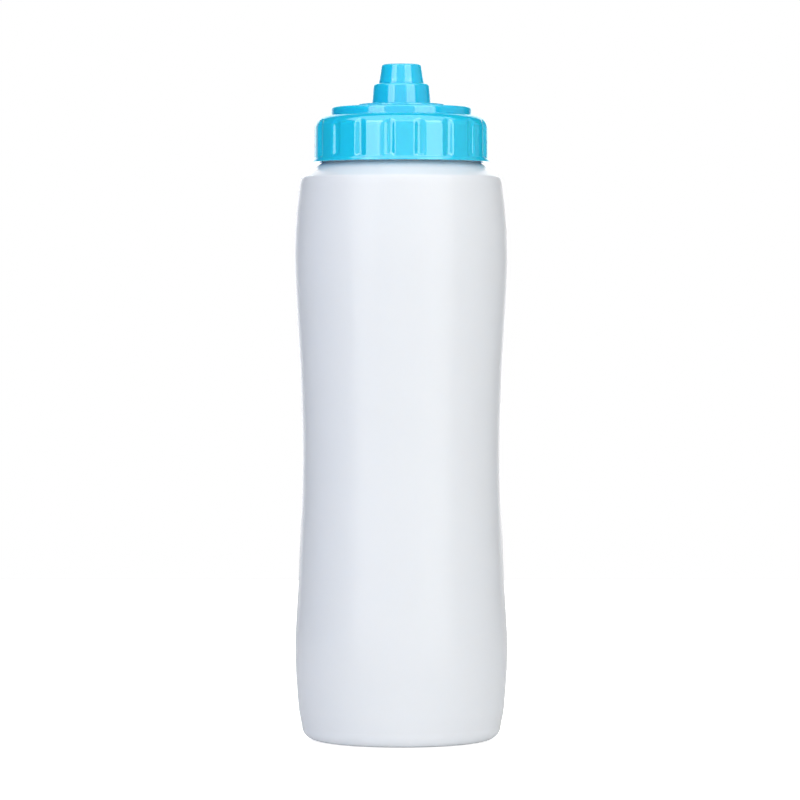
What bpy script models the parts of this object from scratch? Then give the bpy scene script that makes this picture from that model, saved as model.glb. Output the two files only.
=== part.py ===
"""Sports squeeze bottle, about one litre: a blow-moulded bottle, a ribbed screw cap with its
gasket, and a push-pull spout that slides on the cap's chimney and is shut by a fixed post.

Every piece is modelled shut, at its real size, in metres, with +Z up. The origin is the centre of
the circle on which the bottle stands, so every joint axis is the Z axis.
"""

import math

import bmesh
import bpy

MM = 0.001

# ---------------------------------------------------------------- driving dimensions
GAP = 0.3 * MM            # left between two pieces that press on each other

# Bottle
WALL = 1.5 * MM
STAND_RADIUS = 32.8 * MM  # outer edge of the flat ring that the bottle stands on
STAND_WIDTH = 3.0 * MM
PUSH_UP = 5.0 * MM        # how far the middle of the base is pushed up
HEEL_HEIGHT = 5.0 * MM    # height of the round corner between base and side
# Radius of the side at each height: heel, lower grip bulge, waist, upper bulge, shoulder crease.
SIDE = [
    (38.1 * MM, HEEL_HEIGHT),
    (39.35 * MM, 12.0 * MM),
    (40.6 * MM, 34.0 * MM),
    (39.3 * MM, 62.0 * MM),
    (37.95 * MM, 106.0 * MM),
    (38.75 * MM, 140.0 * MM),
    (40.0 * MM, 162.0 * MM),
    (41.0 * MM, 184.0 * MM),
    (40.4 * MM, 200.0 * MM),
    (38.8 * MM, 214.2 * MM),
]
SHOULDER = [                   # the sloping shoulder, from the side up to the foot of the neck
    (38.45 * MM, 214.75 * MM),
    (33.9 * MM, 217.6 * MM),
    (31.6 * MM, 219.4 * MM),
]
NECK_RADIUS = 30.1 * MM
NECK_FOOT = 220.6 * MM
RIM_HEIGHT = 233.9 * MM

# Screw thread, shared by the neck and the cap
PITCH = 4.2 * MM
THREAD_TURNS = 1.35
THREAD_DEPTH = 1.1 * MM
THREAD_ROOT_HALF = 1.0 * MM   # half the ridge's width at its root
THREAD_CREST_HALF = 0.45 * MM
NECK_THREAD_START = 225.1 * MM
THREAD_FLANK_GAP = GAP        # between the two ridges' flanks, along the axis

# Screw cap
SKIRT_FOOT = 220.9 * MM
SKIRT_RADIUS = 33.3 * MM      # outside, at the foot of the grip pads
SKIRT_DRAFT = 0.15 * MM       # the skirt is this much slimmer at the top of the pads
SKIRT_BORE = 31.55 * MM
LIP_RADIUS = 33.85 * MM
LIP_HEIGHT = 1.5 * MM
CROWN_RADIUS = 5.0 * MM       # of the round corner between skirt and top
CROWN_TOP = 238.4 * MM
FLUTE_COUNT = 18
FLUTE_DEPTH = 1.0 * MM
FLUTE_TOOL_RADIUS = 2.6 * MM
FLUTE_TURN = 12.2             # degrees from the front to the first flute on its right
DISC_RADIUS = 27.0 * MM
DISC_EDGE = 0.9 * MM          # radius of the disc's rounded edge
DISC_TOP = 241.6 * MM
BOSS_RADIUS = 16.6 * MM       # low round step on the disc, on which the spout's collar rests
BOSS_TOP = 242.8 * MM
BOSS_EDGE = 0.8 * MM
PLATE = 1.6 * MM              # wall of the cap's top
GASKET_SEAT = 235.9 * MM
KEEPER_RADIUS = 27.4 * MM     # ring inside the cap that keeps the gasket in its groove
KEEPER_WALL = 1.2 * MM
KEEPER_FOOT = 232.9 * MM

# Gasket
GASKET_INNER = 27.8 * MM
GASKET_OUTER = 30.3 * MM

# Chimney, spout and valve post
CHIMNEY_RADIUS = 8.6 * MM
CHIMNEY_BORE = 7.2 * MM
CHIMNEY_TOP = 249.3 * MM
BEAD_HEIGHT = 0.8 * MM
BEAD_STAND = 0.35 * MM        # how far the chimney's bead stands out
SPOUT_TRAVEL = 4.4 * MM
SPOUT_BORE = 9.1 * MM
SPOUT_BEAD_BORE = 8.75 * MM   # the spout's own bead hooks under the chimney's
COLLAR_FOOT_RADIUS = 11.3 * MM
COLLAR_TOP_RADIUS = 10.65 * MM
COLLAR_TOP = 250.6 * MM
COLLAR_EDGE = 1.3 * MM        # radius of the collar's rounded shoulder
TIP_FLARE_RADIUS = 8.65 * MM
TIP_FOOT_RADIUS = 8.25 * MM
TIP_TOP_RADIUS = 7.5 * MM
SPOUT_TOP = 258.0 * MM
SPOUT_EDGE = 0.9 * MM         # radius of the tip's rounded edge
ORIFICE_RADIUS = 2.75 * MM
ORIFICE_LAND = 2.0 * MM
POST_RADIUS = 2.6 * MM
POST_FOOT = 240.6 * MM
SPIDER_RADIUS = 6.9 * MM
SPIDER_WALL = 1.1 * MM
SPIDER_HEIGHT = 3.4 * MM
SPIDER_FLANGE = 9.2 * MM
SPIDER_FLANGE_HEIGHT = 0.9 * MM
SPIDER_LEGS = 3
LEG_WIDTH = 1.6 * MM

# Facets round each piece
BOTTLE_SIDES = 48
CAP_SIDES = 3 * FLUTE_COUNT
SPOUT_SIDES = 40
SMALL_SIDES = 24
FLUTE_TOOL_SIDES = 20

# ---------------------------------------------------------------- derived dimensions
THREAD_SLOPE = (THREAD_ROOT_HALF - THREAD_CREST_HALF) / THREAD_DEPTH
NECK_CREST = NECK_RADIUS + THREAD_DEPTH
CAP_CREST = SKIRT_BORE - THREAD_DEPTH
# Sum of the two ridges' half widths at any radius where both have material.
RIDGES_TOGETHER = THREAD_ROOT_HALF + THREAD_CREST_HALF - THREAD_SLOPE * (CAP_CREST - NECK_RADIUS)
CAP_THREAD_START = NECK_THREAD_START - RIDGES_TOGETHER - THREAD_FLANK_GAP
COLLAR_FOOT = BOSS_TOP + GAP
DECK_UNDERSIDE = BOSS_TOP - PLATE

WHITE = (0.86, 0.88, 0.92)
BLUE = (0.03, 0.53, 0.83)
CLEAR_GREY = (0.78, 0.80, 0.80)


# ---------------------------------------------------------------- outlines
def arc(centre, radius, start, stop, steps):
    """Points on a circular arc in an outline; centre is (radius, height), angles in degrees."""
    points = []
    for i in range(steps + 1):
        angle = math.radians(start + (stop - start) * i / steps)
        points.append((centre[0] + radius * math.cos(angle), centre[1] + radius * math.sin(angle)))
    return points


def heel(steps):
    """The elliptical corner from the standing ring up to the foot of the side."""
    reach = SIDE[0][0] - STAND_RADIUS
    points = []
    for i in range(steps):
        angle = 0.5 * math.pi * i / steps
        height = HEEL_HEIGHT * (1.0 - math.cos(angle))
        points.append((STAND_RADIUS + reach * math.sin(angle), height))
    return points


def base_dome(steps):
    """The pushed-up middle of the base, from the axis out to the standing ring."""
    edge = STAND_RADIUS - STAND_WIDTH
    points = []
    for i in range(steps + 1):
        share = i / steps
        points.append((edge * share, 0.5 * PUSH_UP * (1.0 + math.cos(math.pi * share))))
    return points


def smooth_side(controls, steps):
    """A smooth curve through (radius, height) controls, with radius as a function of height."""
    last = len(controls) - 1
    slopes = []
    for i in range(last + 1):
        low = controls[max(i - 1, 0)]
        high = controls[min(i + 1, last)]
        slopes.append((high[0] - low[0]) / (high[1] - low[1]))
    points = []
    for i in range(last):
        (r0, z0), (r1, z1) = controls[i], controls[i + 1]
        span = z1 - z0
        for k in range(steps):
            u = k / steps
            radius = (2 * u**3 - 3 * u**2 + 1) * r0 + (u**3 - 2 * u**2 + u) * span * slopes[i]
            radius += (3 * u**2 - 2 * u**3) * r1 + (u**3 - u**2) * span * slopes[i + 1]
            points.append((radius, z0 + span * u))
    points.append(controls[-1])
    return points


def inset(outline, distance):
    """The outline moved to its left by distance; ends on the axis stay on the axis."""
    moved = []
    for i, (r, z) in enumerate(outline):
        before = outline[max(i - 1, 0)]
        after = outline[min(i + 1, len(outline) - 1)]
        dr, dz = after[0] - before[0], after[1] - before[1]
        length = math.hypot(dr, dz)
        moved.append((max(r - distance * dz / length, 0.0), z + distance * dr / length))
    moved[0] = (0.0, outline[0][1] + distance)
    moved[-1] = (outline[-1][0] - distance, outline[-1][1])
    return moved


# ---------------------------------------------------------------- making solids
def plastic(name, colour, roughness):
    """A Principled material for one piece."""
    material = bpy.data.materials.new(name)
    material.use_nodes = True
    shader = material.node_tree.nodes["Principled BSDF"]
    shader.inputs["Base Color"].default_value = (*colour, 1.0)
    shader.inputs["Roughness"].default_value = roughness
    shader.inputs["Metallic"].default_value = 0.0
    return material


def add_object(name, mesh_data, parent, material=None):
    """Turn a bmesh into a named object under the assembly's empty."""
    mesh = bpy.data.meshes.new(name)
    mesh_data.to_mesh(mesh)
    mesh_data.free()
    if material:
        mesh.materials.append(material)
    mesh.shade_smooth()
    mesh.set_sharp_from_angle(angle=math.radians(32.0))
    piece = bpy.data.objects.new(name, mesh)
    bpy.context.scene.collection.objects.link(piece)
    piece.parent = parent
    return piece


def turned(outline, sides):
    """A solid of revolution about Z. The closed outline of (radius, height) points runs
    counter-clockwise, with the material on its left; points on the axis have radius 0."""
    solid = bmesh.new()
    rings = []
    for radius, height in outline:
        if radius < 1e-9:
            rings.append([solid.verts.new((0.0, 0.0, height))] * sides)
            continue
        ring = []
        for k in range(sides):
            angle = 2.0 * math.pi * k / sides
            ring.append(solid.verts.new((radius * math.cos(angle), radius * math.sin(angle), height)))
        rings.append(ring)
    for i, lower in enumerate(rings):
        upper = rings[(i + 1) % len(rings)]
        for k in range(sides):
            after = (k + 1) % sides
            corners = []
            for vertex in (lower[k], lower[after], upper[after], upper[k]):
                if vertex not in corners:
                    corners.append(vertex)
            if len(corners) > 2:
                solid.faces.new(corners)
    return solid


def helix_ridge(wall_radius, crest_radius, start, sides):
    """One thread ridge that grows out of a wall and runs out again at both ends."""
    outward = 1.0 if crest_radius > wall_radius else -1.0
    buried = wall_radius - 0.4 * MM * outward
    steps = round(THREAD_TURNS * sides)
    run_out = sides // 10
    ridge = bmesh.new()
    sections = []
    for k in range(steps + 1):
        angle = 2.0 * math.pi * k / sides
        middle = start + PITCH * k / sides
        grown = min(1.0, k / run_out, (steps - k) / run_out)
        low = wall_radius - 0.2 * MM * outward
        crest = low + (crest_radius - low) * grown
        section = []
        for radius, offset in (
            (buried, -THREAD_ROOT_HALF),
            (crest, -THREAD_CREST_HALF),
            (crest, THREAD_CREST_HALF),
            (buried, THREAD_ROOT_HALF),
        ):
            place = (radius * math.cos(angle), radius * math.sin(angle), middle + offset)
            section.append(ridge.verts.new(place))
        sections.append(section)
    for now, following in zip(sections, sections[1:]):
        for i in range(4):
            j = (i + 1) % 4
            ridge.faces.new((now[i], now[j], following[j], following[i]))
    ridge.faces.new(list(reversed(sections[0])))
    ridge.faces.new(sections[-1])
    bmesh.ops.recalc_face_normals(ridge, faces=ridge.faces[:])
    return ridge


def guide(piece):
    """Mark an object as a cutter or filler that is only read by a modifier."""
    piece.hide_render = True
    piece.display_type = "WIRE"


def combine(piece, other, operation):
    """Cut a guide from a piece, or join it on."""
    guide(other)
    modifier = piece.modifiers.new(other.name, "BOOLEAN")
    modifier.operation = operation
    modifier.solver = "EXACT"
    modifier.object = other


# ---------------------------------------------------------------- the pieces
def make_bottle(parent):
    """The blow-moulded bottle: push-up base, waisted side, shoulder and threaded neck."""
    outside = base_dome(6) + heel(5) + smooth_side(SIDE, 2) + SHOULDER
    outside += [(NECK_RADIUS, NECK_FOOT), (NECK_RADIUS, RIM_HEIGHT)]
    inside = inset(outside, WALL)
    outline = outside + list(reversed(inside))
    material = plastic("bottle_plastic", WHITE, 0.28)
    bottle = add_object("bottle_body", turned(outline, BOTTLE_SIDES), parent, material)
    ridge = helix_ridge(NECK_RADIUS, NECK_CREST, NECK_THREAD_START, BOTTLE_SIDES)
    combine(bottle, add_object("neck_thread_guide", ridge, parent), "UNION")


def flute_cutter():
    """Upright round tools, one for each flute, that scoop the skirt between its grip pads."""
    tools = bmesh.new()
    axis_radius = SKIRT_RADIUS - FLUTE_DEPTH + FLUTE_TOOL_RADIUS
    foot = SKIRT_FOOT + LIP_HEIGHT
    height = 2.0 * (CROWN_TOP - foot)
    for i in range(FLUTE_COUNT):
        angle = math.radians(-90.0 + FLUTE_TURN + 360.0 * i / FLUTE_COUNT)
        made = bmesh.ops.create_cone(
            tools, cap_ends=True, segments=FLUTE_TOOL_SIDES,
            radius1=FLUTE_TOOL_RADIUS, radius2=FLUTE_TOOL_RADIUS, depth=height,
        )
        middle = (axis_radius * math.cos(angle), axis_radius * math.sin(angle), foot + 0.5 * height)
        bmesh.ops.translate(tools, vec=middle, verts=made["verts"])
    return tools


def make_cap(parent):
    """The screw cap: lipped and fluted skirt, raised disc, chimney, and the ring inside that
    keeps the gasket in place."""
    crown_centre = (SKIRT_RADIUS - SKIRT_DRAFT - CROWN_RADIUS, CROWN_TOP - CROWN_RADIUS)
    disc_centre = (DISC_RADIUS - DISC_EDGE, DISC_TOP - DISC_EDGE)
    bead = CHIMNEY_RADIUS + BEAD_STAND
    slant = 0.2 * MM
    outside = [
        (SKIRT_BORE, SKIRT_FOOT),
        (LIP_RADIUS, SKIRT_FOOT),
        (LIP_RADIUS, SKIRT_FOOT + 0.6 * LIP_HEIGHT),
        (SKIRT_RADIUS, SKIRT_FOOT + 1.3 * LIP_HEIGHT),
    ]
    outside += arc(crown_centre, CROWN_RADIUS, 0.0, 90.0, 6)
    outside.append((DISC_RADIUS, CROWN_TOP))
    outside += arc(disc_centre, DISC_EDGE, 0.0, 90.0, 2)
    outside += [
        (BOSS_RADIUS, DISC_TOP),
        (BOSS_RADIUS, BOSS_TOP - 0.5 * BOSS_EDGE),
        (BOSS_RADIUS - 0.5 * BOSS_EDGE, BOSS_TOP),
        (CHIMNEY_RADIUS, BOSS_TOP),
        (CHIMNEY_RADIUS, CHIMNEY_TOP - BEAD_HEIGHT - slant),
        (bead, CHIMNEY_TOP - BEAD_HEIGHT),
        (bead, CHIMNEY_TOP - 2.0 * slant),
        (CHIMNEY_RADIUS, CHIMNEY_TOP),
        (CHIMNEY_BORE, CHIMNEY_TOP),
    ]
    keeper_bore = KEEPER_RADIUS - KEEPER_WALL
    inside = [
        (CHIMNEY_BORE, DECK_UNDERSIDE),
        (SPIDER_FLANGE + GAP, DECK_UNDERSIDE),
        (BOSS_RADIUS - PLATE, DECK_UNDERSIDE),
        (BOSS_RADIUS - 0.5 * PLATE, DISC_TOP - PLATE),
        (DISC_RADIUS - PLATE - DISC_EDGE, DISC_TOP - PLATE),
        (DISC_RADIUS - PLATE, DISC_TOP - PLATE - DISC_EDGE),
        (keeper_bore, CROWN_TOP - PLATE),
        (keeper_bore, KEEPER_FOOT),
        (KEEPER_RADIUS, KEEPER_FOOT),
        (KEEPER_RADIUS, GASKET_SEAT),
        (GASKET_OUTER + 0.2 * MM, GASKET_SEAT),
        (SKIRT_BORE, RIM_HEIGHT - GAP),
    ]
    material = plastic("cap_plastic", BLUE, 0.2)
    cap = add_object("screw_cap", turned(outside + inside, CAP_SIDES), parent, material)
    combine(cap, add_object("flute_guide", flute_cutter(), parent), "DIFFERENCE")
    ridge = helix_ridge(SKIRT_BORE, CAP_CREST, CAP_THREAD_START, CAP_SIDES)
    combine(cap, add_object("cap_thread_guide", ridge, parent), "UNION")


def make_gasket(parent):
    """The flat ring between the rim of the neck and the cap."""
    low = RIM_HEIGHT + GAP
    high = GASKET_SEAT - GAP
    outline = [(GASKET_INNER, low), (GASKET_OUTER, low), (GASKET_OUTER, high), (GASKET_INNER, high)]
    material = plastic("gasket_rubber", CLEAR_GREY, 0.45)
    add_object("cap_gasket", turned(outline, BOTTLE_SIDES), parent, material)


def make_spout(parent):
    """The push-pull spout: a wide collar that slides on the chimney and a tapering tip."""
    collar_centre = (COLLAR_TOP_RADIUS - COLLAR_EDGE, COLLAR_TOP - COLLAR_EDGE)
    tip_centre = (TIP_TOP_RADIUS - SPOUT_EDGE, SPOUT_TOP - SPOUT_EDGE)
    shelf = CHIMNEY_TOP + GAP
    slant = 0.2 * MM
    outline = [(SPOUT_BEAD_BORE, COLLAR_FOOT), (COLLAR_FOOT_RADIUS, COLLAR_FOOT)]
    outline += arc(collar_centre, COLLAR_EDGE, 0.0, 90.0, 3)
    outline += [
        (TIP_FLARE_RADIUS, COLLAR_TOP),
        (TIP_FLARE_RADIUS, COLLAR_TOP + 0.5 * MM),
        (TIP_FOOT_RADIUS, COLLAR_TOP + 1.4 * MM),
    ]
    outline += arc(tip_centre, SPOUT_EDGE, 0.0, 90.0, 3)
    outline += [
        (ORIFICE_RADIUS, SPOUT_TOP),
        (ORIFICE_RADIUS, SPOUT_TOP - ORIFICE_LAND),
        (TIP_TOP_RADIUS - 2.0 * MM, SPOUT_TOP - 1.8 * ORIFICE_LAND),
        (TIP_FOOT_RADIUS - 1.9 * MM, COLLAR_TOP),
        (TIP_FOOT_RADIUS - 1.9 * MM, shelf),
        (SPOUT_BORE, shelf),
        (SPOUT_BORE, COLLAR_FOOT + BEAD_HEIGHT + slant),
        (SPOUT_BEAD_BORE, COLLAR_FOOT + BEAD_HEIGHT),
    ]
    material = plastic("spout_plastic", BLUE, 0.2)
    add_object("pull_spout", turned(outline, SPOUT_SIDES), parent, material)


def spider_leg(turn):
    """A bar from the post to the spider's ring, buried at both ends."""
    leg = bmesh.new()
    inner = 0.5 * POST_RADIUS
    outer = SPIDER_RADIUS - 0.5 * SPIDER_WALL
    reach = outer - inner
    height = 0.7 * SPIDER_HEIGHT
    foot = POST_FOOT + 0.1 * SPIDER_HEIGHT
    bmesh.ops.create_cube(leg, size=1.0)
    bmesh.ops.scale(leg, vec=(reach, LEG_WIDTH, height), verts=leg.verts)
    bmesh.ops.translate(leg, vec=(inner + 0.5 * reach, 0.0, foot + 0.5 * height), verts=leg.verts)
    spin = math.radians(-90.0 + turn)
    for vertex in leg.verts:
        x, y, z = vertex.co
        vertex.co = (x * math.cos(spin) - y * math.sin(spin), x * math.sin(spin) + y * math.cos(spin), z)
    return leg


def make_valve_pin(parent):
    """The post that plugs the spout's hole, on a three-legged spider pushed into the chimney."""
    flange_top = DECK_UNDERSIDE - GAP
    ring_top = flange_top + SPIDER_HEIGHT
    ring = [
        (SPIDER_RADIUS - SPIDER_WALL, flange_top - SPIDER_FLANGE_HEIGHT),
        (SPIDER_FLANGE, flange_top - SPIDER_FLANGE_HEIGHT),
        (SPIDER_FLANGE, flange_top),
        (SPIDER_RADIUS, flange_top),
        (SPIDER_RADIUS, ring_top),
        (SPIDER_RADIUS - SPIDER_WALL, ring_top),
    ]
    post_top = SPOUT_TOP - GAP
    post = [(0.0, POST_FOOT), (POST_RADIUS, POST_FOOT), (POST_RADIUS, post_top - 0.8 * MM)]
    post += [(0.65 * POST_RADIUS, post_top - 0.15 * MM), (0.0, post_top)]
    material = plastic("pin_plastic", BLUE, 0.25)
    pin = add_object("valve_pin", turned(ring, SMALL_SIDES), parent, material)
    combine(pin, add_object("post_guide", turned(post, SMALL_SIDES), parent), "UNION")
    for i in range(SPIDER_LEGS):
        leg = add_object(f"leg_guide_{i + 1}", spider_leg(360.0 * i / SPIDER_LEGS), parent)
        combine(pin, leg, "UNION")


def main():
    for old in list(bpy.data.objects):
        bpy.data.objects.remove(old)
    assembly = bpy.data.objects.new("squeeze_bottle", None)
    bpy.context.scene.collection.objects.link(assembly)
    make_bottle(assembly)
    make_cap(assembly)
    make_gasket(assembly)
    make_spout(assembly)
    make_valve_pin(assembly)


main()
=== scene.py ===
"""Looks of the sports squeeze bottle: every CAD solid is replaced by a finely turned piece of the
same size, with rounded edges, real screw threads and mould marks, in procedural plastics."""

import math

import bmesh
import bpy
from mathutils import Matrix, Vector


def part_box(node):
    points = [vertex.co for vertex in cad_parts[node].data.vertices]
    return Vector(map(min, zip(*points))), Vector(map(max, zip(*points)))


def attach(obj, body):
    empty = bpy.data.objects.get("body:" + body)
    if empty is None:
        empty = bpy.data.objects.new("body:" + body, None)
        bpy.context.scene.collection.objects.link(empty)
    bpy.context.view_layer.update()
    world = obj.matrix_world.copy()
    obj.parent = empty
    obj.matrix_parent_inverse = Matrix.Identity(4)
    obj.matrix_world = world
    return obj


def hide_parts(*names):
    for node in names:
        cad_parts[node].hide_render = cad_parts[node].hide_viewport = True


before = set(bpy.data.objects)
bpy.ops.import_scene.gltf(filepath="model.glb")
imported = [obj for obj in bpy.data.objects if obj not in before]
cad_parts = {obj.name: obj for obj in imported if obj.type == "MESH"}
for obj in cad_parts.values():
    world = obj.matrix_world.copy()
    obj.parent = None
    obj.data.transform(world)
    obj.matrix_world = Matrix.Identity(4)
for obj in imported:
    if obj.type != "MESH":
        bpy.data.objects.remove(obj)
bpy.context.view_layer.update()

MM = 0.001
TURN = 2.0 * math.pi

# ---------------------------------------------------------------- sizes, from the CAD frame
BOTTLE_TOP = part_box("bottle_body")[1].z
CAP_FOOT, CAP_TOP = (corner.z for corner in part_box("screw_cap"))
LIP_HANG = 0.25 * MM           # the lip's rounded edge hangs this much below the CAD's
SKIRT_FOOT = CAP_FOOT - LIP_HANG
CAP_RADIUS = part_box("screw_cap")[1].x
SPOUT_FOOT, SPOUT_TOP = (corner.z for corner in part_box("pull_spout"))
SPOUT_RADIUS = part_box("pull_spout")[1].x
PIN_FOOT, PIN_TOP = (corner.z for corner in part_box("valve_pin"))
PIN_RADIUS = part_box("valve_pin")[1].x
GASKET_FOOT, GASKET_TOP = (corner.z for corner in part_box("cap_gasket"))
GASKET_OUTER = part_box("cap_gasket")[1].x
GAP = 0.3 * MM                 # what the CAD leaves between faces that meet or nearly meet

# Bottle, as in the CAD
WALL = 1.5 * MM
STAND_RADIUS = 32.8 * MM
STAND_WIDTH = 3.0 * MM
PUSH_UP = 5.0 * MM
HEEL_HEIGHT = 5.0 * MM
SIDE = [
    (38.1 * MM, HEEL_HEIGHT),
    (39.35 * MM, 12.0 * MM),
    (40.6 * MM, 34.0 * MM),
    (39.3 * MM, 62.0 * MM),
    (37.95 * MM, 106.0 * MM),
    (38.75 * MM, 140.0 * MM),
    (40.0 * MM, 162.0 * MM),
    (41.0 * MM, 184.0 * MM),
    (40.4 * MM, 200.0 * MM),
    (38.8 * MM, 214.2 * MM),
]
SHOULDER = [(38.45 * MM, 214.75 * MM), (33.9 * MM, 217.6 * MM), (31.6 * MM, 219.4 * MM)]
NECK_RADIUS = 30.1 * MM
NECK_FOOT = 220.6 * MM
PLAIN_NECK = 3.0 * MM          # neck below the part that is finely divided for the thread
RIM_BAND = 1.0 * MM            # and above it

# Screw thread
PITCH = 4.2 * MM
THREAD_TURNS = 1.35
THREAD_DEPTH = 1.1 * MM
THREAD_ROOT_HALF = 1.0 * MM
THREAD_CREST_HALF = 0.45 * MM
NECK_THREAD_START = 225.1 * MM
CAP_THREAD_START = 223.525 * MM
RUN_OUT = 0.1                  # turns over which a ridge rises to its full height

# Marks of the blow mould on the bottle
SEAM_HEIGHT = 0.05 * MM
SEAM_HALF = 0.22 * MM
SEAM_SETBACK = 1.2 * SEAM_HEIGHT   # the wall stands back by this, so the seam stays in the CAD
PINCH_LENGTH = 44.0 * MM
PINCH_HALF = 0.6 * MM
PINCH_HEIGHT = 0.25 * MM

# Cap
SKIRT_RADIUS = 33.3 * MM
SKIRT_DRAFT = 0.15 * MM
SKIRT_BORE = 31.55 * MM
BORE_FINE_FOOT = CAP_FOOT + 2.0 * MM     # the bore is finely divided for its thread from here
BORE_FINE_TOP = CAP_FOOT + 10.0 * MM     # up to here
BORE_TOP = BOTTLE_TOP - 0.3 * MM
LIP_HEIGHT = 1.5 * MM
CROWN_RADIUS = 5.0 * MM
CROWN_TOP = 238.4 * MM
FLUTE_COUNT = 18
FLUTE_DEPTH = 1.0 * MM
FLUTE_TOOL_RADIUS = 2.6 * MM
FLUTE_FOOT = 0.35 * MM         # flutes begin this far above the CAD's lip
FLUTE_FOOT_SLOPE = 4.0         # and below that run outwards, this much for each unit of height
FLUTE_EDGE = 0.6 * MM          # width over which a flute's edge is rounded
FIRST_FLUTE = math.radians(-90.0 + 12.2)
DISC_RADIUS = 27.0 * MM
DISC_TOP = 241.6 * MM
BOSS_RADIUS = 16.6 * MM
BOSS_TOP = SPOUT_FOOT - GAP
PLATE = 1.6 * MM
KEEPER_RADIUS = 27.4 * MM
KEEPER_WALL = 1.2 * MM
KEEPER_FOOT = 232.9 * MM
CHIMNEY_RADIUS = 8.6 * MM
CHIMNEY_BORE = 7.2 * MM
BEAD_HEIGHT = 0.8 * MM
BEAD_STAND = 0.35 * MM
BEAD_ROOM = 1.4 * MM           # top of the chimney that carries the bead

# Spout, pin and gasket
SPOUT_BORE = 9.1 * MM
SPOUT_BEAD_BORE = 8.75 * MM
SETTLE = 0.24 * MM             # how far the collar sinks into the CAD's gap below it
COLLAR_TOP_RADIUS = 10.65 * MM
COLLAR_TOP = 250.6 * MM
COLLAR_EDGE = 1.3 * MM
TIP_FLARE_RADIUS = 8.65 * MM
TIP_FOOT_RADIUS = 8.25 * MM
TIP_TOP_RADIUS = 7.5 * MM
ORIFICE_RADIUS = 2.75 * MM
ORIFICE_LAND = 2.0 * MM
POST_RADIUS = 2.6 * MM
SPIDER_RADIUS = 6.9 * MM
SPIDER_WALL = 1.1 * MM
SPIDER_HEIGHT = 3.4 * MM
SPIDER_LEGS = 3
LEG_WIDTH = 1.6 * MM
GASKET_INNER = 27.8 * MM

# How finely the meshes are divided
LARGE_FILLET = 1.0 * MM        # fillets above this radius are large
LARGE_FILLET_STEP = math.radians(11.0)
SMALL_FILLET_STEP = math.radians(18.0)
NEARLY_STRAIGHT = 0.495 * math.pi
BOTTLE_COLUMNS = 192
COLUMNS_EACH_FLUTE = 20
CROWDING = 0.045               # how strongly the cap's columns crowd near its flutes' edges
ROUND_COLUMNS = 144
PIN_RING_COLUMNS = 96
POST_COLUMNS = 64
DOME_STEPS = 30
HEEL_STEPS = 12
SIDE_STEPS = 12
PINCH_STEPS = 32
PINCH_ARC_STEPS = 8
SAME_POINT = 1e-6              # points closer than this are one point
ON_AXIS = 1e-7                 # and a radius below this is the axis

# Detail in the plastics: features per metre, and octaves
DRIFT_NOISE = (22.0, 2.0)
GLOSS_NOISE = (160.0, 4.0)
RIPPLE_NOISE = (70.0, 1.0)
RUB_NOISE = (1400.0, 3.0)
RIPPLE_DEPTH = 0.02 * MM
RUB_DEPTH = 0.01 * MM
RUB_STRENGTH = 0.5

# Studio
CAMERA_LENS = 188.2            # millimetres
CAMERA_SENSOR = 36.0
CAMERA_PLACE = (-0.00053, -1.6, 0.1686)
CAMERA_PITCH = 1.39            # degrees below level
LOOK_HEIGHT = 0.13
FLOOR_HALF = 0.9
FLOOR_DROP = 0.0002            # the floor is this far below the bottle's foot
FLOOR_WHITE = 0.86
FLOOR_GLOW = 0.70              # extra glow of the table top that only the camera sees
TABLE_LIGHT = 0.08             # and the glow that also reaches the bottle
ROOM_FRONT = 0.03              # brightness of the room on the camera's side
ROOM_BACK = 1.0                # and of the backdrop
BACKDROP_EDGE = (0.80, 0.90)   # the room turns bright between these Y parts of a direction
WHITE = (1.0, 1.0, 1.0)
WINDOW_BLUE = (0.05, 0.3, 1.0)

# name, azimuth in degrees, distance, height, width, tall, radiance, tint
LIGHTS = [
    ("left_softbox", -41.0, 0.8, 0.35, 0.38, 1.1, 1.78, WHITE),
    ("right_softbox", 39.0, 0.8, 0.35, 0.51, 1.1, 1.79, WHITE),
    ("front_fill", -5.0, 2.2, 0.9, 2.4, 2.4, 0.54, WHITE),
    ("side_fill", 95.0, 0.9, 0.35, 1.0, 1.0, 0.22, WHITE),
    ("left_window", -80.0, 0.9, 0.35, 1.0, 1.0, 0.28, WINDOW_BLUE),
    ("back_fill", 180.0, 2.2, 0.9, 2.0, 2.0, 0.9, WHITE),
    ("top_softbox", 0.0, 0.32, 1.1, 2.2, 1.2, 1.14, WHITE),
]


# ---------------------------------------------------------------- outlines
def filleted(corners, spacing=1.0 * MM):
    """Dense (radius, height) points along straight runs with rounded corners. Each corner is
    (radius, height, fillet); the ends of the run are not rounded."""
    points = [corners[0][:2]]
    for before, here, after in zip(corners, corners[1:], corners[2:]):
        corner, size = Vector(here[:2]), here[2]
        to_before = (Vector(before[:2]) - corner).normalized()
        to_after = (Vector(after[:2]) - corner).normalized()
        half = 0.5 * to_before.angle(to_after)
        if size <= 0.0 or half > NEARLY_STRAIGHT:
            points.append(tuple(corner))
            continue
        cut = size / math.tan(half)
        centre = corner + (to_before + to_after).normalized() * (size / math.sin(half))
        start, end = corner + to_before * cut, corner + to_after * cut
        first = math.atan2(start.y - centre.y, start.x - centre.x)
        sweep = math.atan2(end.y - centre.y, end.x - centre.x) - first
        sweep = (sweep + math.pi) % TURN - math.pi
        step = LARGE_FILLET_STEP if size > LARGE_FILLET else SMALL_FILLET_STEP
        steps = max(3, math.ceil(abs(sweep) / step))
        for i in range(steps + 1):
            angle = first + sweep * i / steps
            points.append((centre.x + size * math.cos(angle), centre.y + size * math.sin(angle)))
    points.append(corners[-1][:2])
    return dense(points, spacing)


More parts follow.
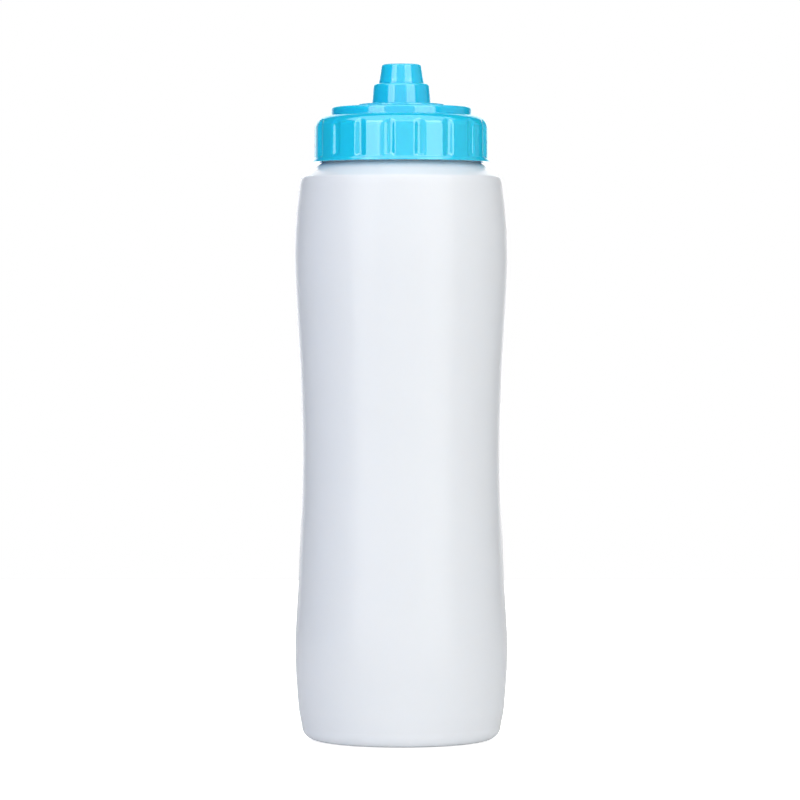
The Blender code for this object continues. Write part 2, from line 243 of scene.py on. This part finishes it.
def dense(points, spacing):
    """The same line with no two points further apart than spacing."""
    filled = [points[0]]
    for (r0, z0), (r1, z1) in zip(points, points[1:]):
        steps = max(1, math.ceil(math.hypot(r1 - r0, z1 - z0) / spacing - 1e-6))
        for i in range(1, steps + 1):
            filled.append((r0 + (r1 - r0) * i / steps, z0 + (z1 - z0) * i / steps))
    return filled


def smooth_side(controls, steps):
    """A smooth curve through (radius, height) controls, with radius as a function of height."""
    last = len(controls) - 1
    slopes = []
    for i in range(last + 1):
        low = controls[max(i - 1, 0)]
        high = controls[min(i + 1, last)]
        slopes.append((high[0] - low[0]) / (high[1] - low[1]))
    points = []
    for i in range(last):
        (r0, z0), (r1, z1) = controls[i], controls[i + 1]
        span = z1 - z0
        for k in range(steps):
            u = k / steps
            radius = (2 * u**3 - 3 * u**2 + 1) * r0 + (u**3 - 2 * u**2 + u) * span * slopes[i]
            radius += (3 * u**2 - 2 * u**3) * r1 + (u**3 - u**2) * span * slopes[i + 1]
            points.append((radius, z0 + span * u))
    points.append(controls[-1])
    return points


def inset(outline, distance):
    """The outline moved to its left by distance. It starts on the axis and stays there."""
    moved = []
    for i, (r, z) in enumerate(outline):
        before = outline[max(i - 1, 0)]
        after = outline[min(i + 1, len(outline) - 1)]
        dr, dz = after[0] - before[0], after[1] - before[1]
        length = math.hypot(dr, dz)
        moved.append((max(r - distance * dz / length, 0.0), z + distance * dr / length))
    moved[0] = (0.0, outline[0][1] + distance)
    return moved


# ---------------------------------------------------------------- surfaces that aren't round
def ease(share):
    """A smooth step from 0 to 1."""
    share = min(1.0, max(0.0, share))
    return share * share * (3.0 - 2.0 * share)


def soft_min(a, b, width):
    """The lower of two values, rounded where they cross."""
    overlap = max(width - abs(a - b), 0.0) / width
    return min(a, b) - overlap * overlap * width / 4.0


def thread(radius, height, angle, start, outward):
    """A wall's radius with its helical ridge: outward is 1 on the neck and -1 in the cap."""
    turns_up = (height - start) / PITCH
    along = round(turns_up - angle / TURN) + angle / TURN
    if not 0.0 < along < THREAD_TURNS:
        return radius
    offset = abs(turns_up - along) * PITCH
    rise = ease((THREAD_ROOT_HALF - offset) / (THREAD_ROOT_HALF - THREAD_CREST_HALF))
    rise *= ease(min(along, THREAD_TURNS - along) / RUN_OUT)
    return radius + outward * THREAD_DEPTH * rise


def neck_thread(radius, height, angle):
    return thread(radius, height, angle, NECK_THREAD_START, 1.0)


def cap_thread(radius, height, angle):
    return thread(radius, height, angle, CAP_THREAD_START, -1.0)


def parting_line(radius, height, angle):
    """The two upright seams that the halves of the mould leave on opposite sides of the bottle.
    The wall between them stands back, so that the seams stay in the CAD's outline."""
    from_first = abs(math.remainder(angle, TURN))
    from_second = abs(math.remainder(angle - math.pi, TURN))
    across = radius * min(from_first, from_second)
    return radius - SEAM_SETBACK + SEAM_HEIGHT * math.exp(-((across / SEAM_HALF) ** 2))


def fluted(radius, height, angle):
    """The skirt's radius with the flutes scooped out above its lip."""
    pitch = TURN / FLUTE_COUNT
    turn = math.remainder(angle - FIRST_FLUTE, pitch)
    axis = SKIRT_RADIUS - FLUTE_DEPTH + FLUTE_TOOL_RADIUS
    reach = FLUTE_TOOL_RADIUS**2 - (axis * math.sin(turn)) ** 2
    if reach <= 0.0:
        return radius
    scoop = axis * math.cos(turn) - math.sqrt(reach)
    ledge = CAP_FOOT + LIP_HEIGHT + FLUTE_FOOT - height
    if ledge > 0.0:
        scoop += FLUTE_FOOT_SLOPE * ledge
    return soft_min(radius, scoop, FLUTE_EDGE)


# ---------------------------------------------------------------- making meshes
def even_angles(columns):
    return [TURN * k / columns for k in range(columns)]


def flute_angles(columns_each):
    """Columns for the cap, closest together near the edges of the flutes."""
    angles = []
    pitch = TURN / FLUTE_COUNT
    for i in range(FLUTE_COUNT):
        for k in range(columns_each):
            share = k / columns_each - 0.5
            shift = CROWDING * math.sin(2.0 * TURN * share)
            angles.append((FIRST_FLUTE + pitch * (i + share + shift)) % TURN)
    return sorted(angles)


def seam_angles(columns):
    """Columns for the bottle, with extra ones beside its two parting lines."""
    step = TURN / columns
    near = [0.0, 0.11, 0.22, 0.34, 0.5, 0.7]     # places beside a seam, in columns
    angles = []
    for k in range(columns):
        angle = step * k
        if k % (columns // 2) == 0:
            offsets = [x * step for x in near]
            angles += [angle + x for x in offsets] + [angle - x for x in offsets[1:]]
        else:
            angles.append(angle)
    return sorted(angle % TURN for angle in angles)


def turned(solid, runs, angles):
    """Add a closed solid turned about Z. runs is a list of (points, shape): shape is None, or a
    function of radius, height and angle that gives the radius. The runs join end to end."""
    outline = []
    for points, shape in runs:
        for r, z in points:
            if not outline or math.hypot(r - outline[-1][0], z - outline[-1][1]) > SAME_POINT:
                outline.append((r, z, shape))
    first, last = outline[0], outline[-1]
    if math.hypot(first[0] - last[0], first[1] - last[1]) < SAME_POINT:
        outline.pop()
    rings = []
    for radius, height, shape in outline:
        if radius < ON_AXIS:
            rings.append([solid.verts.new((0.0, 0.0, height))] * len(angles))
            continue
        ring = []
        for angle in angles:
            r = shape(radius, height, angle) if shape else radius
            ring.append(solid.verts.new((r * math.cos(angle), r * math.sin(angle), height)))
        rings.append(ring)
    for i, lower in enumerate(rings):
        upper = rings[(i + 1) % len(rings)]
        for k in range(len(angles)):
            after = (k + 1) % len(angles)
            corners = []
            for vertex in (lower[k], lower[after], upper[after], upper[k]):
                if vertex not in corners:
                    corners.append(vertex)
            if len(corners) > 2:
                solid.faces.new(corners)


def swept(solid, sections):
    """Add a closed solid through sections that have the same number of points."""
    rings = [[solid.verts.new(point) for point in section] for section in sections]
    for lower, upper in zip(rings, rings[1:]):
        for k in range(len(lower)):
            after = (k + 1) % len(lower)
            solid.faces.new((lower[k], lower[after], upper[after], upper[k]))
    solid.faces.new(list(reversed(rings[0])))
    solid.faces.new(rings[-1])


def finished(name, solid):
    """Turn a bmesh into a smooth-shaded object whose faces look outwards."""
    bmesh.ops.recalc_face_normals(solid, faces=solid.faces)
    mesh = bpy.data.meshes.new(name)
    solid.to_mesh(mesh)
    solid.free()
    mesh.shade_smooth()
    piece = bpy.data.objects.new(name, mesh)
    bpy.context.scene.collection.objects.link(piece)
    return piece


def stand_for(piece, node, body, material):
    """Put a finished piece in its CAD node's place."""
    piece.data.materials.append(material)
    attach(piece, body)
    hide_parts(node)


# ---------------------------------------------------------------- materials
def plastic(name, colour, dark_share, roughness, spread, scatter, radius, ior, gleam):
    """Moulded plastic: a faint drift of colour, gloss that varies a little, a slow ripple from the
    mould and fine rub marks, and light that scatters a short way under the surface."""
    material = bpy.data.materials.new(name)
    material.use_nodes = True
    nodes, links = material.node_tree.nodes, material.node_tree.links
    shader = nodes["Principled BSDF"]
    shader.inputs["IOR"].default_value = ior
    shader.inputs["Specular IOR Level"].default_value = gleam
    shader.inputs["Subsurface Weight"].default_value = scatter
    shader.inputs["Subsurface Radius"].default_value = radius
    shader.inputs["Subsurface Scale"].default_value = 1.0
    place = nodes.new("ShaderNodeTexCoord")

    def noise(scale, detail):
        texture = nodes.new("ShaderNodeTexNoise")
        texture.inputs["Scale"].default_value = scale
        texture.inputs["Detail"].default_value = detail
        links.new(place.outputs["Object"], texture.inputs["Vector"])
        return texture.outputs["Fac"]

    drift = nodes.new("ShaderNodeMix")
    drift.data_type = "RGBA"
    drift.inputs["A"].default_value = (*(c * dark_share for c in colour), 1.0)
    drift.inputs["B"].default_value = (*colour, 1.0)
    links.new(noise(*DRIFT_NOISE), drift.inputs["Factor"])
    links.new(drift.outputs["Result"], shader.inputs["Base Color"])

    gloss = nodes.new("ShaderNodeMapRange")
    gloss.inputs["To Min"].default_value = roughness - spread
    gloss.inputs["To Max"].default_value = roughness + spread
    links.new(noise(*GLOSS_NOISE), gloss.inputs["Value"])
    links.new(gloss.outputs["Result"], shader.inputs["Roughness"])

    slow = nodes.new("ShaderNodeBump")
    slow.inputs["Distance"].default_value = RIPPLE_DEPTH
    links.new(noise(*RIPPLE_NOISE), slow.inputs["Height"])
    fine = nodes.new("ShaderNodeBump")
    fine.inputs["Distance"].default_value = RUB_DEPTH
    fine.inputs["Strength"].default_value = RUB_STRENGTH
    links.new(noise(*RUB_NOISE), fine.inputs["Height"])
    links.new(slow.outputs["Normal"], fine.inputs["Normal"])
    links.new(fine.outputs["Normal"], shader.inputs["Normal"])
    return material


# ---------------------------------------------------------------- the pieces
def base_height(radius):
    """Height of the pushed-up base, which is deepest at the axis."""
    share = radius / (STAND_RADIUS - STAND_WIDTH)
    return 0.5 * PUSH_UP * (1.0 + math.cos(math.pi * share))


def pinch_off(solid):
    """Add the low ridge under the base where the mould pinched the plastic tube shut."""
    sections = []
    for i in range(PINCH_STEPS + 1):
        x = PINCH_LENGTH * (i / PINCH_STEPS - 0.5)
        fade = math.sqrt(max(1.0 - (2.0 * x / PINCH_LENGTH) ** 4, 0.02))
        wall = base_height(abs(x))
        section = []
        for k in range(PINCH_ARC_STEPS + 1):
            angle = math.pi * k / PINCH_ARC_STEPS
            drop = PINCH_HEIGHT * fade * math.sin(angle)
            section.append((x, PINCH_HALF * fade * math.cos(angle), wall - drop))
        section.append((x, -0.6 * PINCH_HALF * fade, wall + 0.3 * WALL))
        section.append((x, 0.6 * PINCH_HALF * fade, wall + 0.3 * WALL))
        sections.append(section)
    swept(solid, sections)


def make_bottle():
    edge = STAND_RADIUS - STAND_WIDTH
    thread_foot = NECK_FOOT + PLAIN_NECK
    rim_foot = BOTTLE_TOP - RIM_BAND
    dome = []
    for i in range(DOME_STEPS + 1):
        radius = edge * i / DOME_STEPS
        dome.append((radius, base_height(radius)))
    reach = SIDE[0][0] - STAND_RADIUS
    heel = []
    for i in range(HEEL_STEPS + 1):
        angle = 0.25 * TURN * i / HEEL_STEPS
        height = HEEL_HEIGHT * (1.0 - math.cos(angle))
        heel.append((STAND_RADIUS + reach * math.sin(angle), height))
    side = smooth_side(SIDE, SIDE_STEPS)
    shoulder = filleted([
        (*side[-2], 0.0),
        (*SHOULDER[0], 1.6 * MM),
        (*SHOULDER[1], 12.0 * MM),
        (*SHOULDER[2], 1.5 * MM),
        (NECK_RADIUS, NECK_FOOT, 0.6 * MM),
        (NECK_RADIUS, thread_foot, 0.0),
    ], 0.8 * MM)
    neck = dense([(NECK_RADIUS, thread_foot), (NECK_RADIUS, rim_foot)], 0.18 * MM)
    rim = filleted([
        (NECK_RADIUS, rim_foot, 0.0),
        (NECK_RADIUS, BOTTLE_TOP, 0.35 * MM),
        (NECK_RADIUS - WALL, BOTTLE_TOP, 0.35 * MM),
        (NECK_RADIUS - WALL, rim_foot, 0.0),
    ], 0.4 * MM)
    inner_neck = [(NECK_RADIUS - WALL, rim_foot), (NECK_RADIUS - WALL, NECK_FOOT)]
    # Inside, every second point of the shoulder is enough, and its last few belong to the neck
    inside = inset(dome + heel[1:] + side[1:-1] + shoulder[:-8:2], WALL)
    inside = [point for point in inside if point[1] < NECK_FOOT - 0.5 * MM]
    runs = [
        (dome, None),
        (heel, parting_line),
        (side[:-1], parting_line),
        (shoulder, parting_line),
        (neck, neck_thread),
        (rim, None),
        (inner_neck, None),
        (list(reversed(inside)), None),
    ]
    solid = bmesh.new()
    turned(solid, runs, seam_angles(BOTTLE_COLUMNS))
    pinch_off(solid)
    bottle = finished("squeeze_body", solid)
    white = plastic(
        "white_polyethylene",
        colour=(0.835, 0.865, 0.905),
        dark_share=0.985,
        roughness=0.20,
        spread=0.03,
        scatter=0.35,
        radius=(2.0 * MM, 2.2 * MM, 2.4 * MM),
        ior=1.5,
        gleam=0.3,
    )
    stand_for(bottle, "bottle_body", "bottle", white)


def make_cap():
    """Make the cap, and return its blue plastic for the spout and the pin."""
    skirt_top = SKIRT_RADIUS - SKIRT_DRAFT
    seat = GASKET_TOP + GAP
    outside = filleted([
        (SKIRT_BORE, BORE_FINE_FOOT, 0.0),
        (SKIRT_BORE, SKIRT_FOOT, 0.25 * MM),
        (CAP_RADIUS - 0.1 * MM, SKIRT_FOOT, 0.25 * MM),
        (CAP_RADIUS, SKIRT_FOOT + 0.25 * LIP_HEIGHT, 0.35 * MM),
        (SKIRT_RADIUS, SKIRT_FOOT + LIP_HEIGHT, 0.5 * MM),
        (skirt_top, CROWN_TOP, CROWN_RADIUS),
        (DISC_RADIUS, CROWN_TOP, 0.3 * MM),
        (DISC_RADIUS, DISC_TOP, 0.9 * MM),
        (BOSS_RADIUS, DISC_TOP, 0.3 * MM),
        (BOSS_RADIUS, BOSS_TOP, 0.5 * MM),
        (CHIMNEY_RADIUS, BOSS_TOP, 0.3 * MM),
        (CHIMNEY_RADIUS, CAP_TOP - BEAD_ROOM, 0.0),
    ], 0.7 * MM)
    bead = CHIMNEY_RADIUS + BEAD_STAND
    chimney = filleted([
        (CHIMNEY_RADIUS, CAP_TOP - BEAD_ROOM, 0.0),
        (CHIMNEY_RADIUS, CAP_TOP - BEAD_HEIGHT - 0.2 * MM, 0.1 * MM),
        (bead, CAP_TOP - BEAD_HEIGHT, 0.1 * MM),
        (bead, CAP_TOP - 0.4 * MM, 0.15 * MM),
        (CHIMNEY_RADIUS, CAP_TOP, 0.1 * MM),
        (CHIMNEY_BORE, CAP_TOP, 0.2 * MM),
        (CHIMNEY_BORE, BOSS_TOP - PLATE, 0.2 * MM),
        (BOSS_RADIUS - PLATE, BOSS_TOP - PLATE, 0.4 * MM),
        (BOSS_RADIUS - 0.5 * PLATE, DISC_TOP - PLATE, 0.4 * MM),
        (DISC_RADIUS - PLATE, DISC_TOP - PLATE, 1.0 * MM),
        (KEEPER_RADIUS - KEEPER_WALL, CROWN_TOP - PLATE, 0.6 * MM),
        (KEEPER_RADIUS - KEEPER_WALL, KEEPER_FOOT, 0.3 * MM),
        (KEEPER_RADIUS, KEEPER_FOOT, 0.4 * MM),
        (KEEPER_RADIUS, seat, 0.2 * MM),
        (GASKET_OUTER + 0.2 * MM, seat, 0.2 * MM),
        (SKIRT_BORE, BORE_TOP, 0.8 * MM),
        (SKIRT_BORE, BORE_FINE_TOP, 0.0),
    ], 1.2 * MM)
    bore = dense([(SKIRT_BORE, BORE_FINE_TOP), (SKIRT_BORE, BORE_FINE_FOOT)], 0.25 * MM)
    runs = [(outside, fluted), (chimney, None), (bore, cap_thread)]
    solid = bmesh.new()
    turned(solid, runs, flute_angles(COLUMNS_EACH_FLUTE))
    cap = finished("ribbed_cap", solid)
    blue = plastic(
        "blue_polypropylene",
        colour=(0.014, 0.66, 0.98),
        dark_share=0.97,
        roughness=0.09,
        spread=0.02,
        scatter=0.3,
        radius=(0.3 * MM, 1.5 * MM, 3.0 * MM),
        ior=1.64,
        gleam=1.0,
    )
    stand_for(cap, "screw_cap", "cap", blue)
    return blue


def make_gasket():
    corner = 0.25 * MM
    middle = 0.5 * (GASKET_FOOT + GASKET_TOP)
    outline = filleted([
        (GASKET_INNER, middle, 0.0),
        (GASKET_INNER, GASKET_FOOT, corner),
        (GASKET_OUTER, GASKET_FOOT, corner),
        (GASKET_OUTER, GASKET_TOP, corner),
        (GASKET_INNER, GASKET_TOP, corner),
        (GASKET_INNER, middle, 0.0),
    ], 0.5 * MM)
    solid = bmesh.new()
    turned(solid, [(outline, None)], even_angles(ROUND_COLUMNS))
    gasket = finished("seal_ring", solid)
    silicone = plastic(
        "milky_silicone",
        colour=(0.72, 0.75, 0.76),
        dark_share=0.97,
        roughness=0.42,
        spread=0.05,
        scatter=0.4,
        radius=(1.0 * MM, 1.1 * MM, 1.2 * MM),
        ior=1.42,
        gleam=0.5,
    )
    stand_for(gasket, "cap_gasket", "seal", silicone)


def make_spout(blue):
    shelf = CAP_TOP + GAP
    tip_bore = TIP_FOOT_RADIUS - 1.9 * MM
    outline = filleted([
        (SPOUT_BEAD_BORE, SPOUT_FOOT + 0.4 * MM, 0.0),
        (SPOUT_BEAD_BORE, SPOUT_FOOT - SETTLE, 0.2 * MM),
        (SPOUT_RADIUS, SPOUT_FOOT - SETTLE, 0.25 * MM),
        (COLLAR_TOP_RADIUS, COLLAR_TOP, COLLAR_EDGE),
        (TIP_FLARE_RADIUS, COLLAR_TOP, 0.15 * MM),
        (TIP_FLARE_RADIUS, COLLAR_TOP + 0.6 * MM, 0.3 * MM),
        (TIP_FOOT_RADIUS + 0.1 * MM, COLLAR_TOP + 1.8 * MM, 2.0 * MM),
        (TIP_TOP_RADIUS, SPOUT_TOP, 0.9 * MM),
        (ORIFICE_RADIUS, SPOUT_TOP, 0.3 * MM),
        (ORIFICE_RADIUS, SPOUT_TOP - ORIFICE_LAND, 0.2 * MM),
        (TIP_TOP_RADIUS - 2.0 * MM, SPOUT_TOP - 1.8 * ORIFICE_LAND, 0.5 * MM),
        (tip_bore, COLLAR_TOP, 0.5 * MM),
        (tip_bore, shelf, 0.2 * MM),
        (SPOUT_BORE, shelf, 0.2 * MM),
        (SPOUT_BORE, SPOUT_FOOT + BEAD_HEIGHT + 0.2 * MM, 0.1 * MM),
        (SPOUT_BEAD_BORE, SPOUT_FOOT + BEAD_HEIGHT, 0.1 * MM),
        (SPOUT_BEAD_BORE, SPOUT_FOOT + 0.4 * MM, 0.0),
    ], 0.5 * MM)
    solid = bmesh.new()
    turned(solid, [(outline, None)], even_angles(ROUND_COLUMNS))
    spout = finished("drinking_spout", solid)
    stand_for(spout, "pull_spout", "spout", blue)


def spider_leg(solid, turn, foot):
    """Add one of the bars that hold the post in the middle of its ring."""
    height = 0.7 * SPIDER_HEIGHT
    edge = 0.2 * MM
    along = Vector((math.cos(turn), math.sin(turn), 0.0))
    across = Vector((-math.sin(turn), math.cos(turn), 0.0))
    half = 0.5 * LEG_WIDTH
    corners = [
        (-half + edge, 0.0), (half - edge, 0.0), (half, edge), (half, height - edge),
        (half - edge, height), (-half + edge, height), (-half, height - edge), (-half, edge),
    ]
    sections = []
    for reach in (0.5 * POST_RADIUS, SPIDER_RADIUS - 0.5 * SPIDER_WALL):
        middle = along * reach + Vector((0.0, 0.0, foot))
        sections.append([middle + across * y + Vector((0.0, 0.0, z)) for y, z in corners])
    swept(solid, sections)


def make_pin(blue):
    """The post that plugs the drinking hole, and the three-legged spider that holds it."""
    ledge = PIN_FOOT + 0.9 * MM
    ring_top = ledge + SPIDER_HEIGHT
    post_foot = PIN_FOOT + 0.6 * MM
    outline = filleted([
        (SPIDER_RADIUS - SPIDER_WALL, PIN_FOOT + 1.0 * MM, 0.0),
        (SPIDER_RADIUS - SPIDER_WALL, PIN_FOOT, 0.2 * MM),
        (PIN_RADIUS, PIN_FOOT, 0.2 * MM),
        (PIN_RADIUS, ledge, 0.2 * MM),
        (SPIDER_RADIUS, ledge, 0.15 * MM),
        (SPIDER_RADIUS, ring_top, 0.3 * MM),
        (SPIDER_RADIUS - SPIDER_WALL, ring_top, 0.3 * MM),
        (SPIDER_RADIUS - SPIDER_WALL, PIN_FOOT + 1.0 * MM, 0.0),
    ], 0.5 * MM)
    post = filleted([
        (0.0, post_foot, 0.0),
        (POST_RADIUS, post_foot, 0.3 * MM),
        (POST_RADIUS, PIN_TOP - 0.8 * MM, 0.4 * MM),
        (0.65 * POST_RADIUS, PIN_TOP - 0.15 * MM, 0.3 * MM),
        (0.0, PIN_TOP, 0.0),
    ], 0.5 * MM)
    solid = bmesh.new()
    turned(solid, [(outline, None)], even_angles(PIN_RING_COLUMNS))
    turned(solid, [(post, None)], even_angles(POST_COLUMNS))
    for i in range(SPIDER_LEGS):
        spider_leg(solid, TURN * i / SPIDER_LEGS - 0.25 * TURN, post_foot + 0.1 * SPIDER_HEIGHT)
    pin = finished("valve_post", solid)
    stand_for(pin, "valve_pin", "cap", blue)


# ---------------------------------------------------------------- the studio
def make_floor():
    """A white table top that glows, so that only a soft contact shadow shows on it."""
    half = FLOOR_HALF
    floor = bmesh.new()
    corners = [(-half, -half), (half, -half), (half, half), (-half, half)]
    floor.faces.new([floor.verts.new((x, y, -FLOOR_DROP)) for x, y in corners])
    floor = finished("studio_floor", floor)
    material = bpy.data.materials.new("white_acrylic")
    material.use_nodes = True
    nodes, links = material.node_tree.nodes, material.node_tree.links
    shader = nodes["Principled BSDF"]
    shader.inputs["Base Color"].default_value = (FLOOR_WHITE, FLOOR_WHITE, FLOOR_WHITE, 1.0)
    shader.inputs["Roughness"].default_value = 0.5
    shader.inputs["Emission Color"].default_value = (1.0, 1.0, 1.0, 1.0)
    path = nodes.new("ShaderNodeLightPath")
    glow = nodes.new("ShaderNodeMath")
    glow.operation = "MULTIPLY_ADD"
    glow.inputs[1].default_value = FLOOR_GLOW
    glow.inputs[2].default_value = TABLE_LIGHT
    links.new(path.outputs["Is Camera Ray"], glow.inputs[0])
    links.new(glow.outputs["Value"], shader.inputs["Emission Strength"])
    floor.data.materials.append(material)


def make_world():
    """White all round for the camera; for the object, bright behind it and dim in front."""
    world = bpy.data.worlds.new("studio")
    bpy.context.scene.world = world
    world.use_nodes = True
    nodes, links = world.node_tree.nodes, world.node_tree.links
    nodes.clear()
    place = nodes.new("ShaderNodeTexCoord")
    split = nodes.new("ShaderNodeSeparateXYZ")
    links.new(place.outputs["Generated"], split.inputs["Vector"])
    room = nodes.new("ShaderNodeMapRange")
    room.interpolation_type = "SMOOTHSTEP"
    room.inputs["From Min"].default_value = BACKDROP_EDGE[0]
    room.inputs["From Max"].default_value = BACKDROP_EDGE[1]
    room.inputs["To Min"].default_value = ROOM_FRONT
    room.inputs["To Max"].default_value = ROOM_BACK
    links.new(split.outputs["Y"], room.inputs["Value"])
    around = nodes.new("ShaderNodeBackground")
    links.new(room.outputs["Result"], around.inputs["Strength"])
    backdrop = nodes.new("ShaderNodeBackground")
    path = nodes.new("ShaderNodeLightPath")
    mix = nodes.new("ShaderNodeMixShader")
    links.new(path.outputs["Is Camera Ray"], mix.inputs["Fac"])
    links.new(around.outputs["Background"], mix.inputs[1])
    backdrop.inputs["Color"].default_value = (1.0, 1.0, 1.0, 1.0)
    backdrop.inputs["Strength"].default_value = 1.0
    links.new(backdrop.outputs["Background"], mix.inputs[2])
    output = nodes.new("ShaderNodeOutputWorld")
    links.new(mix.outputs["Shader"], output.inputs["Surface"])


def make_light(name, azimuth, distance, height, width, tall, radiance, tint):
    """A softbox that faces the bottle. Azimuth runs from the camera's side towards +X."""
    lamp = bpy.data.lights.new(name, "AREA")
    lamp.shape = "RECTANGLE"
    lamp.size, lamp.size_y = width, tall
    lamp.energy = radiance * math.pi * width * tall
    lamp.color = tint
    light = bpy.data.objects.new(name, lamp)
    bpy.context.scene.collection.objects.link(light)
    turn = math.radians(azimuth)
    light.location = (distance * math.sin(turn), -distance * math.cos(turn), height)
    aim = Vector((0.0, 0.0, LOOK_HEIGHT)) - light.location
    light.rotation_euler = aim.to_track_quat("-Z", "Y").to_euler()
    light.visible_camera = False


def make_camera():
    lens = bpy.data.cameras.new("camera")
    lens.lens = CAMERA_LENS
    lens.sensor_width = CAMERA_SENSOR
    lens.clip_start, lens.clip_end = 0.05, 50.0
    camera = bpy.data.objects.new("camera", lens)
    bpy.context.scene.collection.objects.link(camera)
    camera.location = CAMERA_PLACE
    camera.rotation_euler = (math.radians(90.0 - CAMERA_PITCH), 0.0, 0.0)
    bpy.context.scene.camera = camera


make_bottle()
blue_plastic = make_cap()
make_gasket()
make_spout(blue_plastic)
make_pin(blue_plastic)
make_floor()
make_world()
for light in LIGHTS:
    make_light(*light)
make_camera()
bpy.context.scene.view_settings.view_transform = "Standard"
